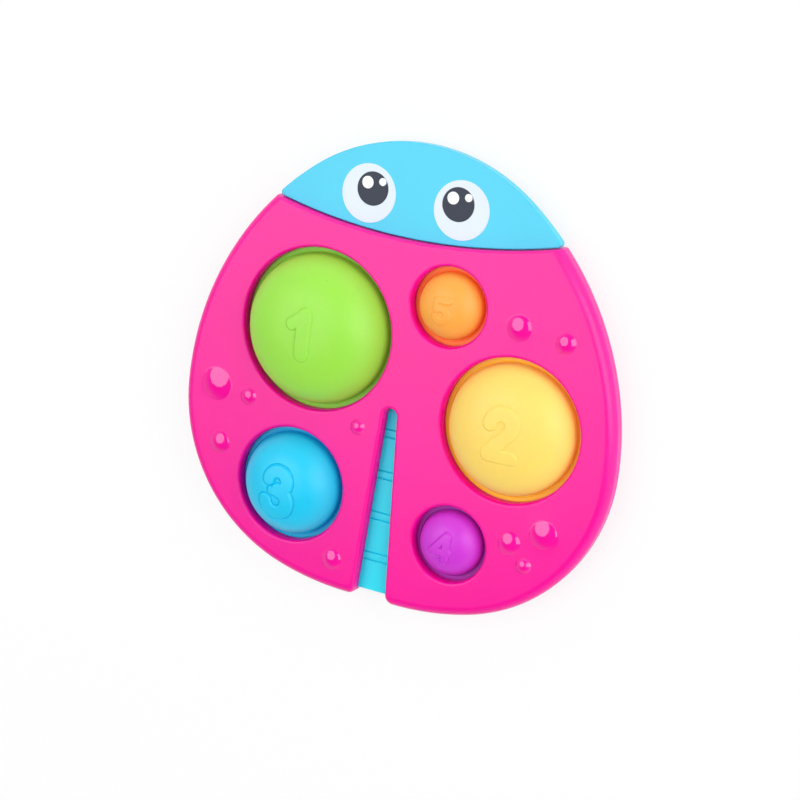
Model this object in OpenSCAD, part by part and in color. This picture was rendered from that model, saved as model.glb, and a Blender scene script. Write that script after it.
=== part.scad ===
// Beetle-shaped bubble pop toy: a pink two-part body with a blue head, a blue
// tail strip in the slot between the wings, and five silicone bubbles that pop
// through from one side to the other. Millimetres. The toy lies on its back:
// +Z is the front, +Y points to the head, and the back face is z = 0.

/* [Body outline] */
// Radius of the arc over the head
head_arc_r = 62.8; // [61:0.2:64]
// Radius of the long arcs down both sides
side_arc_r = 103; // [101:0.5:105]
// Radius of the arcs round the hips
hip_arc_r = 59.6; // [58.6:0.2:60.6]
// Radius of the two arcs under the wings
tail_arc_r = 96.4; // [92:0.2:102]
// Place of the middle of the arc over the head
head_arc_y = 15.2; // [15:0.1:15.4]

/* [Body] */
// Thickness of the body from front face to back face
body_t = 11; // [10.5:0.5:13]
// Wall of the hollow shells
wall = 2.2; // [1.8:0.1:2.4]
// Rounding of the outer edge at the front
front_edge_r = 3.5; // [2.5:0.5:4.5]
// Rounding of the outer edge at the back
back_edge_r = 5; // [4:0.5:5]
// Rounding of the lip of each window
lip_r = 1.1; // [0.6:0.1:1.4]
// Width of the collar round each window inside the body
collar_w = 2; // [1.6:0.1:2.2]

/* [Seam and head] */
// Place of the lowest point of the seam between head and body
seam_y = 46.7; // [46.5:0.1:47.2]
// Radius of the seam
seam_r = 200; // [190:1:215]
// Gap between head and body along the seam
seam_gap = 0.3; // [0.2:0.05:0.5]
// Rounding of the body's edge along the seam
seam_edge_r = 1.2; // [0.8:0.1:1.6]
// How far the head's faces lie below the body's faces
head_step = 2.5; // [2:0.1:2.6]
// How far the head's outline stands out from the body's outline
head_over = 0.2; // [0.1:0.1:0.5]
// Rounding of the head's edge at the front
head_front_r = 0.4; // [0.2:0.1:0.8]
// Rounding of the head's edge at the back
head_back_r = 2.6; // [2:0.1:2.6]
// Wall of the hollow head
head_wall = 1.6; // [1.2:0.1:1.8]
// Radius of the lugs that hold the head between the shells
lug_r = 4.4; // [4.2:0.1:4.6]
// Thickness of the lugs
lug_t = 1.8; // [1.4:0.1:2]
// Distance of the lug screws below the seam
lug_drop = 5.8; // [5.6:0.1:6]
// Distance of the outer lugs from the ends of the seam
lug_end = 8; // [7.5:0.1:8.5]
// Place of the middle lug across the body
lug_mid_x = -7; // [-8:0.1:-6]
// Diameter of the pegs that join the two halves of the head
peg_d = 4; // [3:0.5:5]
// Distance of the pegs from the middle of the head
peg_x = 27; // [25:0.5:29]
// Distance of the pegs above the seam
peg_rise = 10.6; // [9:0.1:12]

/* [Slot and tail strip] */
// Place of the closed end of the slot
slot_top_y = -10; // [-11:0.1:-9]
// Radius of the closed end of the slot
slot_end_r = 2.4; // [2:0.1:2.8]
// Angle of each side of the slot to the middle line
slot_half_angle = 3.3; // [2.8:0.1:3.6]
// Rounding of the body's edge along the slot
slot_edge_r = 1.2; // [0.8:0.1:1.4]
// Rounding of the wing tips beside the slot's mouth
wing_tip_r = 2.7; // [2:0.1:3.5]
// Depth of the strip's face below the front face
strip_depth = 5; // [4.5:0.1:5.5]
// Thickness of the tail strip
strip_t = 1.6; // [1.2:0.1:2]
// Width of the strip's flanges that the shells clamp
strip_flange = 2.2; // [1.6:0.1:2.4]
// How far the strip's end lies inside the outline
strip_end_inset = 2; // [1.5:0.1:3]
// Width and depth of the engraved lines across the strip
strip_line = 0.5; // [0.3:0.1:0.7]
// Place of the first pair of lines
strip_pair_y = -19.8; // [-20.5:0.1:-18.5]
// Step from one pair of lines to the next
strip_pair_step = 14.7; // [14:0.1:15]
// Step between the two lines of a pair
strip_pair_gap = 2.7; // [2:0.1:3.2]

/* [Bubbles] */
// Depth of the silicone flange below the front face
recess = 4; // [3.6:0.1:4.2]
// Thickness of the silicone flange
flange_t = 1.6; // [1.2:0.1:1.8]
// Width of the flange that shows round each dome
flange_show = 2; // [1.7:0.1:2.5]
// Width of the bead behind the collars
bead_w = 1.2; // [0.8:0.1:1.3]
// How far the bead stands above and below the flange
bead_rise = 0.6; // [0.4:0.1:0.8]
// Thickness of the silicone dome
dome_t = 1.4; // [1.1:0.1:1.6]
// Fullness of the domes' shoulders: 1 is an ellipse, less is fuller
dome_shoulder = 0.75; // [0.6:0.05:0.9]
// Height of the raised numbers
number_rise = 0.45; // [0.3:0.05:0.6]
// Gap between a crown and the web round it
crown_gap = 0.1; // [0.06:0.02:0.2]

/* [Bubble 1] */
// Place of bubble 1 across the body
bubble_1_x = -30.4; // [-31.4:0.1:-29.4]
// Place of bubble 1 along the body
bubble_1_y = 11.1; // [10.8:0.1:12]
// Radius of its window
bubble_1_window_r = 27.6; // [26.5:0.1:28]
// Height of its dome
bubble_1_dome_h = 16; // [14:0.1:18]
// Radius of its crown
bubble_1_crown_r = 16; // [13:0.1:17]

/* [Bubble 2] */
// Place of bubble 2 across the body
bubble_2_x = 42.5; // [42:0.1:43.5]
// Place of bubble 2 along the body
bubble_2_y = -8; // [-8.2:0.1:-7.4]
// Radius of its window
bubble_2_window_r = 24.1; // [23:0.1:24.4]
// Height of its dome
bubble_2_dome_h = 11.4; // [10.5:0.1:14]
// Radius of its crown
bubble_2_crown_r = 14; // [13:0.1:15]

/* [Bubble 3] */
// Place of bubble 3 across the body
bubble_3_x = -34; // [-35:0.1:-33]
// Place of bubble 3 along the body
bubble_3_y = -44.4; // [-44.8:0.1:-43.7]
// Radius of its window
bubble_3_window_r = 19.9; // [19:0.1:20.3]
// Height of its dome
bubble_3_dome_h = 12.2; // [10.5:0.1:13.5]
// Radius of its crown
bubble_3_crown_r = 11.6; // [11.2:0.1:12.2]

/* [Bubble 4] */
// Place of bubble 4 across the body
bubble_4_x = 26.6; // [26.2:0.1:27.4]
// Place of bubble 4 along the body
bubble_4_y = -50.9; // [-51.2:0.1:-50.2]
// Radius of its window
bubble_4_window_r = 13.1; // [12.6:0.1:13.4]
// Height of its dome
bubble_4_dome_h = 7.8; // [6.5:0.1:8.4]
// Radius of its crown
bubble_4_crown_r = 7.4; // [7.2:0.1:7.8]

/* [Bubble 5] */
// Place of bubble 5 across the body
bubble_5_x = 16; // [15.5:0.1:16.8]
// Place of bubble 5 along the body
bubble_5_y = 27.9; // [27.6:0.1:28.4]
// Radius of its window
bubble_5_window_r = 13.2; // [12.6:0.1:13.4]
// Height of its dome
bubble_5_dome_h = 7.8; // [6.5:0.1:8.4]
// Radius of its crown
bubble_5_crown_r = 7.4; // [7.2:0.1:7.8]

/* [Screws] */
// Diameter of the screw shanks
screw_d = 2.6; // [2.2:0.1:3]
// Length of the screws under the head
screw_l = 6.5; // [5.5:0.1:6.8]
// Diameter of the screw heads
screw_head_d = 4.8; // [4.2:0.1:5]
// Height of the screw heads
screw_head_h = 1.5; // [1.2:0.1:1.7]
// Depth of the recess that hides each screw head
screw_sink = 2.4; // [2:0.1:2.6]
// Clearance round the screws
screw_gap = 0.15; // [0.1:0.05:0.3]
// Diameter of the bosses round the screws
boss_d = 6; // [5.8:0.1:6.2]
// Distance of the outer screws from the outline
screw_inset = 12; // [11:0.5:13]
// Clear distance between the tail screws' bosses and the strip
screw_strip_gap = 1.6; // [1:0.1:2]
// Distance of the middle screw from the middle line
screw_mid_x = 5; // [4.5:0.1:6]
// Distance of the middle screw above the slot
screw_mid_rise = 12; // [11:0.5:13]

/* [Eyes] */
// Distance of the eyes from the line halfway between them
eye_x = 16.6; // [16:0.1:17.4]
// Place of the line halfway between the eyes
eye_mid_x = -1.2; // [-1.5:0.1:1]
// Distance of the eyes above the lowest point of the seam
eye_rise = 12.5; // [12:0.1:13]
// Radius of the white of each eye
eye_r = 9.7; // [9:0.1:10]
// Radius of the pupil
pupil_r = 5.6; // [5:0.1:6]
// Place of the pupils across, towards the middle
pupil_in = 1.3; // [0.5:0.1:2]
// Place of the pupils along the head, above the eye's middle
pupil_up = 1.7; // [0.5:0.1:2]
// Thickness of each layer of print
print_t = 0.1; // [0.05:0.01:0.2]

/* [Drops] */
// Height of the drops above the front face
drop_h = 1.2; // [0.8:0.1:1.6]

/* [Hidden] */
$fn = 128;

pink = "#ff3ca5";
blue = "#5ad4f5";
eps = 0.5;            // how far cutters reach past a face
round_steps = 6;      // flats in a quarter round
peg_gap = 0.1;        // clearance of pegs, lugs and flanges in their seats

// Levels along Z
split_z = body_t / 2;
flange_top = body_t - recess;
flange_bottom = flange_top - flange_t;
strip_top = body_t - strip_depth;
strip_bottom = strip_top - strip_t;
head_top = body_t - head_step;
head_bottom = head_step;
pilot_end = screw_sink + screw_l + 0.5;

// Bubbles: place, window radius, dome height, crown radius and colour
bubbles = [
  [bubble_1_x, bubble_1_y, bubble_1_window_r, bubble_1_dome_h, bubble_1_crown_r, "#a8e464"],
  [bubble_2_x, bubble_2_y, bubble_2_window_r, bubble_2_dome_h, bubble_2_crown_r, "#ffdc78"],
  [bubble_3_x, bubble_3_y, bubble_3_window_r, bubble_3_dome_h, bubble_3_crown_r, "#46cdf5"],
  [bubble_4_x, bubble_4_y, bubble_4_window_r, bubble_4_dome_h, bubble_4_crown_r, "#d04fe0"],
  [bubble_5_x, bubble_5_y, bubble_5_window_r, bubble_5_dome_h, bubble_5_crown_r, "#ffa54b"]
];
function place(b) = [b[0], b[1], 0];
function window_r(b) = b[2];
function dome_h(b) = b[3];
function crown_r(b) = b[4];
function dome_r(b) = window_r(b) - flange_show;
// Radius of the dome's inside where it meets the flange
function throat_r(b) = dome_r(b) - dome_t;

// Outline: tangent arcs from the top round to the slot's mouth. Each pair of arcs
// meets along one straight line through both of their centres. The radii are
// taken to the nearest tenth, so that neighbours meet exactly.
function tenth(v) = round(10 * v) / 10;
head_r = tenth(head_arc_r);
side_r = tenth(side_arc_r);
hip_r = tenth(hip_arc_r);
tail_r = tenth(tail_arc_r);
head_turn = [0.6, 0.8];
side_turn = [1, 0];
hip_turn = [0.28, -0.96];
head_c = [0, tenth(head_arc_y)];
side_c = head_c + (head_r - side_r) * head_turn;
hip_c = side_c + (side_r - hip_r) * side_turn;
left_hip = [-hip_c[0], hip_c[1]];
tail_c = hip_c + (hip_r - tail_r) * hip_turn;
tail_y = tail_c[1] - tail_r;
// Far ends of the lines on which the arcs meet
reach = 1.5;
head_far = head_c + reach * head_r * head_turn;
side_far = hip_c + reach * hip_r * side_turn;
hip_far = hip_c + reach * hip_r * hip_turn;

// One sector of the body: an arc's revolved edge kept inside a plan.
// Each edge point is [inset, z], from low to high.
module sector(c, r, plan, edge) {
  low = edge[0][1];
  high = edge[len(edge) - 1][1];
  intersection() {
    translate([c[0], c[1], 0])
      rotate_extrude()
        polygon(concat([[0, low]], [for (e = edge) [r - e[0], e[1]]], [[0, high]]));
    translate([0, 0, low - eps])
      linear_extrude(high - low + 2 * eps)
        polygon(plan);
  }
}
// A solid with the body's outline and the given edge
module body_form(edge) {
  sector(head_c, head_r, [head_c, head_far, [-head_far[0], head_far[1]]], edge);
  for (side = [0, 1]) mirror([side, 0, 0]) {
    sector(side_c, side_r, [side_c, side_far, head_far], edge);
    sector(hip_c, hip_r, [hip_c, hip_far, side_far], edge);
    sector(tail_c, tail_r, [[0, tail_c[1]], [0, tail_c[1] - reach * tail_r], hip_far, tail_c], edge);
  }
}

// Quarter rounds as [inset, z]: up to a front edge, and up from a back edge
function front_round(r, z, inset = 0) =
  [for (i = [0 : round_steps])
    let (a = 90 * i / round_steps)
    [inset + r * (1 - cos(a)), z - r * (1 - sin(a))]];
function back_round(r, z, inset = 0) =
  [for (i = [0 : round_steps])
    let (a = 90 * i / round_steps)
    [inset + r * (1 - sin(a)), z + r * (1 - cos(a))]];

// What a rounded edge takes away below the face z = 0, as [u, z]; u runs into the solid from its wall
function round_cut(r) = concat(
  [[-r, eps], [-r, -r]],
  [for (e = front_round(r, 0)) e],
  [[r, eps]]);

function seam_at(x) = seam_y + seam_r - sqrt(pow(seam_r, 2) - pow(x, 2));
// Right end of the seam, where it meets the side arc
seam_c = [0, seam_y + seam_r];
seam_to_side = side_c - seam_c;
seam_share = (pow(seam_r, 2) - pow(side_r, 2)) / (2 * pow(norm(seam_to_side), 2)) + 0.5;
seam_rest = sqrt(pow(seam_r, 2) - pow(seam_share * norm(seam_to_side), 2));
seam_end = seam_c + seam_share * seam_to_side
  + seam_rest * [-seam_to_side[1], seam_to_side[0]] / norm(seam_to_side);
// Space of the head: everything above the seam, from z = low to z = high
module above_seam(gap, low, high) {
  outer = seam_r + gap;
  depth = 110;
  span = 50;
  translate([0, seam_y + seam_r, 0])
    rotate([0, 0, -90 - span / 2])
      rotate_extrude(angle = span)
        translate([outer - depth, low]) square([depth, high - low]);
}
// What the seam takes out of a shell with its face at z = 0
module seam_cut() {
  depth = 110;
  span = 50;
  translate([0, seam_y + seam_r, 0])
    rotate([0, 0, -90 - span / 2])
      rotate_extrude(angle = span)
        polygon(concat(
          [[seam_r - depth, -body_t], [seam_r, -body_t]],
          [for (e = front_round(seam_edge_r, 0)) [seam_r + e[0], e[1]]],
          [[seam_r + seam_edge_r, eps], [seam_r - depth, eps]]));
}

// Plan of the slot, widened by grow on both sides
slot_end_y = slot_top_y - slot_end_r;
slot_lap = 0.4;       // how far the slot's straight sides run on past its round end
slot_proud = 0.01;    // how far the straight sides stand outside the round end
function slot_edge(grow) = (slot_end_r + grow) * [cos(slot_half_angle), sin(slot_half_angle)];
function slot_half_w(y, grow = 0) =
  (slot_end_r + grow) / cos(slot_half_angle) + (slot_end_y - y) * tan(slot_half_angle);
module slot_space(grow, y_low, low, high) {
  y_high = slot_end_y + slot_lap;
  top = slot_half_w(y_high, grow) + slot_proud;
  foot = slot_half_w(y_low, grow) + slot_proud;
  translate([0, slot_end_y, low]) cylinder(r = slot_end_r + grow, h = high - low);
  translate([0, 0, low])
    linear_extrude(high - low)
      polygon([[top, y_high], [-top, y_high], [-foot, y_low], [foot, y_low]]);
}
// What the slot takes out of a shell with its face at z = 0
module slot_cut() {
  run = (slot_end_y - tail_y) / cos(slot_half_angle) + wing_tip_r;
  p = slot_edge(0);
  slot_space(0, tail_y - wing_tip_r, -body_t, eps);
  translate([0, slot_end_y, 0])
    rotate_extrude()
      translate([slot_end_r, 0]) polygon(round_cut(slot_edge_r));
  for (side = [0, 1]) mirror([side, 0, 0])
    translate([p[0] + 1.5 * slot_proud, slot_end_y + p[1], 0])
      rotate([0, 0, slot_half_angle])
        translate([0, slot_lap, 0])
          rotate([90, 0, 0])
            linear_extrude(run) polygon(round_cut(slot_edge_r));
}
// What rounds the wing tips off in plan
module wing_tip_cut() {
  w = slot_half_w(tail_y);
  r = wing_tip_r;
  for (side = [0, 1]) mirror([side, 0, 0])
    translate([w, tail_y, -body_t])
      linear_extrude(body_t + eps)
        polygon(concat(
          [[-r, -r], [r, -r]],
          [for (i = [0 : round_steps])
            let (a = 90 * i / round_steps)
            [r * (1 - sin(a)), r * (1 - cos(a))]],
          [[-r, r]]));
}

// Screws through the lugs of the head, and the other screws, clear of bubbles and slot
lug_end_x = seam_end[0] - lug_end;
lug_places = [for (x = [-lug_end_x, lug_mid_x, lug_end_x]) [x, seam_at(x) - lug_drop]];
tail_screw_y = tail_y + screw_inset;
tail_screw_x = slot_half_w(tail_screw_y, strip_flange) + boss_d / 2 + screw_strip_gap;
screw_places = concat(lug_places, [
  [screw_mid_x, slot_top_y + screw_mid_rise],
  left_hip + (hip_r - screw_inset) * [-0.998, -0.063],
  hip_c + (hip_r - screw_inset) * [0.88, -0.475],
  [-tail_screw_x, tail_screw_y],
  [tail_screw_x, tail_screw_y]
]);

// Drops on the front face: place and radius
slot_top = [0, slot_top_y];
tail_mid = [0, tail_y];
beside_5 = [bubble_5_x, bubble_5_y];
drops = [
  [left_hip + [-46.9, 1.6], 5.9], [left_hip + [-34.1, -0.3], 3.1], [left_hip + [-43.6, -18.9], 3.9],
  [slot_top + [-11.1, -8.7], 2.65], [tail_mid + [-15.1, 11.1], 3.7],
  [beside_5 + [25.2, -1.8], 4.4], [beside_5 + [41.3, -3.7], 3.6],
  [hip_c + [28.4, -27.9], 4], [hip_c + [39.9, -22.4], 5], [hip_c + [34.4, -34.3], 2.75]
];

// What one window takes out of a shell with its face at z = 0
module window_cut(b) {
  translate(place(b)) rotate_extrude()
    polygon(concat(
      [[0, -body_t], [window_r(b), -body_t]],
      [for (e = front_round(lip_r, 0)) [window_r(b) + e[0], e[1]]],
      [[window_r(b) + lip_r, eps], [0, eps]]));
}
// Everything that is open through a shell with its face at z = 0
module face_cuts() {
  for (b = bubbles) window_cut(b);
  seam_cut();
  slot_cut();
  wing_tip_cut();
}
// The seat that the clamped strip needs between the shells
module strip_seat(low, high) {
  slot_space(strip_flange + peg_gap, tail_y + strip_end_inset - peg_gap, low, high);
}

// Walls and posts inside the hollow of a shell, from low to high
module posts(low, high, slot_low, slot_high, collar_low, collar_high) {
  for (b = bubbles)
    translate(place(b) + [0, 0, collar_low])
      cylinder(r = window_r(b) + collar_w, h = collar_high - collar_low);
  for (s = screw_places)
    translate([s[0], s[1], low]) cylinder(d = boss_d, h = high - low);
  slot_space(wall, tail_y, slot_low, slot_high);
  above_seam(wall, low, high);
}

// Outer edges of the hollow inside the two shells
front_hollow = [[wall, split_z - eps], [wall, body_t - wall]];
back_hollow = [
  [wall + back_edge_r / 2, wall], [wall, wall + back_edge_r / 2], [wall, split_z + eps]
];

// The moulded drops on the front face
module drop_set() {
  seat = 0.6;
  for (d = drops) {
    r = (pow(d[1], 2) + pow(drop_h, 2)) / (2 * drop_h);
    translate([d[0][0], d[0][1], body_t])
      intersection() {
        translate([0, 0, drop_h - r]) rotate([90, 0, 0]) sphere(r);
        translate([0, 0, -seat]) cylinder(r = d[1] + seat, h = seat + 2 * drop_h);
      }
  }
}

// The head's lugs, grown by gap, from z = low to z = high
module lugs(gap, low, high) {
  for (p = lug_places) translate([p[0], p[1], low]) {
    cylinder(r = lug_r + gap, h = high - low);
    translate([-lug_r - gap, 0, 0])
      cube([2 * (lug_r + gap), seam_at(p[0]) + 1.5 * wall - p[1], high - low]);
  }
}

module front_shell() {
  color(pink) difference() {
    union() {
      difference() {
        body_form(concat([[0, split_z]], front_round(front_edge_r, body_t)));
        difference() {
          body_form(front_hollow);
          posts(split_z - eps, body_t, strip_top, body_t, flange_top, body_t);
        }
      }
      drop_set();
    }
    translate([0, 0, body_t]) face_cuts();
    strip_seat(split_z - eps, strip_top);
    difference() {
      lugs(peg_gap, split_z - eps, split_z + lug_t + peg_gap);
      for (p = lug_places) translate([p[0], p[1], split_z - 2 * eps]) cylinder(d = boss_d, h = body_t);
    }
    for (s = screw_places)
      translate([s[0], s[1], split_z - eps])
        cylinder(d = screw_d + screw_gap, h = pilot_end - split_z + eps);
  }
}

module back_shell() {
  color(pink) difference() {
    difference() {
      body_form(concat(back_round(back_edge_r, 0), [[0, split_z]]));
      difference() {
        body_form(back_hollow);
        posts(0, split_z + eps, 0, strip_bottom, 0, flange_bottom);
      }
    }
    mirror([0, 0, 1]) face_cuts();
    strip_seat(strip_bottom, split_z + eps);
    for (s = screw_places) translate([s[0], s[1], -eps]) {
      cylinder(d = screw_d + 2 * screw_gap, h = split_z + 2 * eps);
      cylinder(d = screw_head_d + 2 * screw_gap, h = screw_sink + eps);
    }
  }
}

// Peg places of the head, one on each side
peg_places = [for (x = [-peg_x, peg_x]) [x, seam_at(x) + peg_rise]];

module head_front() {
  color(blue) difference() {
    union() {
      difference() {
        intersection() {
          body_form(concat([[-head_over, split_z]], front_round(head_front_r, head_top, -head_over)));
          above_seam(-seam_gap, 0, body_t);
        }
        intersection() {
          body_form([
            [head_wall - head_over, split_z - eps],
            [head_wall - head_over, head_top - head_wall]
          ]);
          above_seam(-seam_gap - head_wall, 0, body_t);
        }
      }
      lugs(0, split_z, split_z + lug_t);
      for (p = peg_places)
        translate([p[0], p[1], split_z])
          cylinder(d = peg_d + 2 * head_wall, h = head_top - split_z - head_wall / 2);
    }
    for (p = peg_places)
      translate([p[0], p[1], split_z - eps])
        cylinder(d = peg_d + 2 * peg_gap, h = head_top - split_z - head_wall + eps);
    for (p = lug_places)
      translate([p[0], p[1], split_z - eps]) cylinder(d = boss_d + 2 * peg_gap, h = lug_t + 2 * eps);
  }
}

module head_back() {
  peg_h = head_top - split_z - head_wall - peg_gap;
  color(blue) union() {
    difference() {
      intersection() {
        body_form(concat(back_round(head_back_r, head_bottom, -head_over), [[-head_over, split_z]]));
        above_seam(-seam_gap, 0, body_t);
      }
      intersection() {
        body_form([
          [head_wall - head_over + head_back_r / 2, head_bottom + head_wall],
          [head_wall - head_over, head_bottom + head_wall + head_back_r / 2],
          [head_wall - head_over, split_z + eps]
        ]);
        above_seam(-seam_gap - head_wall, 0, body_t);
      }
    }
    for (p = peg_places) {
      translate([p[0], p[1], head_bottom + head_wall / 2])
        cylinder(d = peg_d + 2 * head_wall, h = split_z - head_bottom - head_wall / 2);
      translate([p[0], p[1], split_z - eps]) cylinder(d = peg_d, h = peg_h + eps);
    }
  }
}

module tail_strip() {
  pairs = floor((strip_pair_y - tail_y - strip_end_inset) / strip_pair_step);
  end_y = tail_y + strip_end_inset;
  color(blue) difference() {
    slot_space(strip_flange, end_y, strip_bottom, strip_top);
    for (i = [0 : pairs]) for (k = [-0.5, 0.5])
      let (y = strip_pair_y - i * strip_pair_step + k * strip_pair_gap)
      translate([-slot_half_w(y), y - strip_line / 2, strip_top - strip_line])
        cube([2 * slot_half_w(y), strip_line, strip_line + eps]);
  }
}

// A pan-head screw, point up, with a cross recess; z = 0 is its seat
module screw() {
  cross_l = screw_head_d * 0.6;
  cross_w = screw_head_d * 0.17;
  cross_h = screw_head_h * 0.6;
  difference() {
    union() {
      translate([0, 0, -screw_head_h]) cylinder(d = screw_head_d, h = screw_head_h);
      cylinder(d = screw_d, h = screw_l - screw_d / 2);
      translate([0, 0, screw_l - screw_d / 2])
        cylinder(d1 = screw_d, d2 = screw_d / 3, h = screw_d / 2);
    }
    for (a = [0, 90]) rotate([0, 0, a])
      translate([-cross_l / 2, -cross_w / 2, -screw_head_h - eps])
        cube([cross_l, cross_w, cross_h + eps]);
  }
}
module screws() {
  color("silver") for (s = screw_places) translate([s[0], s[1], screw_sink]) screw();
}

// Printed eyes: three layers of ink on the head's front face
eye_y = seam_y + eye_rise;
glint_places = [[-2, 1.8, 2.05], [3.3, 2.7, 1.3]];
module eye_layer(layer) {
  for (side = [-1, 1])
    translate([eye_mid_x + side * eye_x, eye_y, head_top + layer * print_t]) children();
}
module eye_whites() {
  color("#eef3ff") eye_layer(0) cylinder(r = eye_r, h = print_t);
}
module eye_pupils() {
  color("#454b57") for (side = [-1, 1])
    translate([eye_mid_x + side * (eye_x - pupil_in), eye_y + pupil_up, head_top + print_t])
      cylinder(r = pupil_r, h = print_t);
}
module eye_glints() {
  color("white") for (side = [-1, 1]) for (g = glint_places)
    translate([eye_mid_x + side * (eye_x - pupil_in), eye_y + pupil_up, head_top + 2 * print_t])
      translate([g[0], g[1], 0]) cylinder(r = g[2], h = print_t);
}

// Strokes of the raised numbers, as tall prisms with round ends
stroke_h = 2 * max([for (b = bubbles) dome_h(b)]);
end_steps = 8;        // flats round half an end
bend_step = 10;       // degrees between points of a bend
module stroke(p, q, w) {
  turn = atan2(q[1] - p[1], q[0] - p[0]);
  around = [for (i = [0 : end_steps]) turn - 90 + 180 * i / end_steps];
  linear_extrude(stroke_h)
    polygon(concat(
      [for (a = around) q + w * [cos(a), sin(a)]],
      [for (a = around) p - w * [cos(a), sin(a)]]));
}
// A bend about c with middle radius r, from angle a0 round to the larger angle a1
module bend(c, r, w, a0, a1) {
  n = ceil((a1 - a0) / bend_step);
  along = [for (i = [0 : n]) a0 + (a1 - a0) * i / n];
  half = [for (i = [1 : end_steps - 1]) 180 * i / end_steps];
  at = function (a, d) [cos(a), sin(a)] * d;
  linear_extrude(stroke_h)
    polygon([
      each [for (a = along) c + at(a, r + w)],
      each [for (t = half) c + at(a1, r) + at(a1 + t, w)],
      each [for (i = [n : -1 : 0]) c + at(along[i], r - w)],
      each [for (t = half) c + at(a0, r) + at(a0 + 180 + t, w)]
    ]);
}
module number(i) {
  if (i == 0) {
    stroke([1.1, -6.7], [1.2, 6.6], 2.5);
    stroke([1, 6.4], [-3.1, 3.1], 2.1);
  }
  if (i == 1) {
    bend([-0.3, 3.4], 3.8, 2.5, -40, 180);
    stroke([2.6, 0.9], [-3.9, -6.6], 2.35);
    stroke([-4, -7], [4.1, -6.8], 2.25);
  }
  if (i == 2) {
    bend([-0.7, 2.6], 3.5, 2.15, -80, 175);
    stroke([-2.7, -0.9], [1.2, -0.9], 1.45);
    bend([-0.9, -4.4], 4.15, 2.35, -173, 80);
  }
  if (i == 3) {
    stroke([0.6, 3.9], [-3.8, -1.8], 1.2);
    stroke([-3.8, -2.2], [1.7, -1.5], 1.2);
    stroke([0.9, 3.9], [0.6, -4.2], 1.25);
  }
  if (i == 4) {
    stroke([-2.6, 2.5], [1.6, 2.7], 1.2);
    stroke([-2.6, 2.5], [-2.7, -0.3], 1.15);
    bend([-0.9, -2.2], 2.2, 1.2, -160, 130);
  }
}

// A dome with a flat top and full shoulders; z = 0 is its foot
dome_steps = 10;      // flats from the top to the foot
function dome_edge(r, h) = [
  for (i = [1 : dome_steps])
    let (a = 90 * i / dome_steps)
    [r * pow(sin(a), dome_shoulder), i == 1 ? h : h * cos(a)]
];
module dome(r, h) {
  rotate_extrude() polygon(concat([[0, -eps], [0, h]], dome_edge(r, h), [[r, -eps]]));
}
module dome_skin(b) {
  translate([0, 0, flange_top]) difference() {
    dome(dome_r(b), dome_h(b));
    dome(throat_r(b), dome_h(b) - dome_t);
  }
}
module bubble_rim(i) {
  b = bubbles[i];
  clamp_r = window_r(b) + collar_w + peg_gap;
  color(b[5]) translate(place(b))
    rotate_extrude()
      polygon([
        [throat_r(b), flange_bottom], [clamp_r, flange_bottom],
        [clamp_r, flange_bottom - bead_rise], [clamp_r + bead_w, flange_bottom - bead_rise],
        [clamp_r + bead_w, flange_top + bead_rise], [clamp_r, flange_top + bead_rise],
        [clamp_r, flange_top], [throat_r(b), flange_top]
      ]);
}
module bubble_web(i) {
  b = bubbles[i];
  color(b[5]) translate(place(b)) intersection() {
    dome_skin(b);
    difference() {
      translate([0, 0, flange_top]) cylinder(r = window_r(b), h = 2 * dome_h(b));
      cylinder(r = crown_r(b) + crown_gap, h = body_t + 2 * dome_h(b));
    }
  }
}
module bubble_crown(i) {
  b = bubbles[i];
  sink = dome_t / 2;
  color(b[5]) translate(place(b)) union() {
    intersection() {
      dome_skin(b);
      translate([0, 0, flange_top]) cylinder(r = crown_r(b), h = 2 * dome_h(b));
    }
    translate([0, 0, flange_top]) intersection() {
      number(i);
      difference() {
        translate([0, 0, number_rise]) dome(dome_r(b), dome_h(b));
        translate([0, 0, -sink]) dome(dome_r(b), dome_h(b));
      }
    }
  }
}

front_shell();
back_shell();
head_front();
head_back();
tail_strip();
screws();
eye_whites();
eye_pupils();
eye_glints();
bubble_rim(0);  // bubble_1_rim
bubble_web(0);  // bubble_1_web
bubble_crown(0);  // bubble_1_crown
bubble_rim(1);  // bubble_2_rim
bubble_web(1);  // bubble_2_web
bubble_crown(1);  // bubble_2_crown
bubble_rim(2);  // bubble_3_rim
bubble_web(2);  // bubble_3_web
bubble_crown(2);  // bubble_3_crown
bubble_rim(3);  // bubble_4_rim
bubble_web(3);  // bubble_4_web
bubble_crown(3);  // bubble_4_crown
bubble_rim(4);  // bubble_5_rim
bubble_web(4);  // bubble_5_web
bubble_crown(4);  // bubble_5_crown
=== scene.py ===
import math
from collections import namedtuple

import bpy
import bmesh
import numpy as np
from mathutils import Matrix, Vector
from mathutils.geometry import delaunay_2d_cdt


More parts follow.
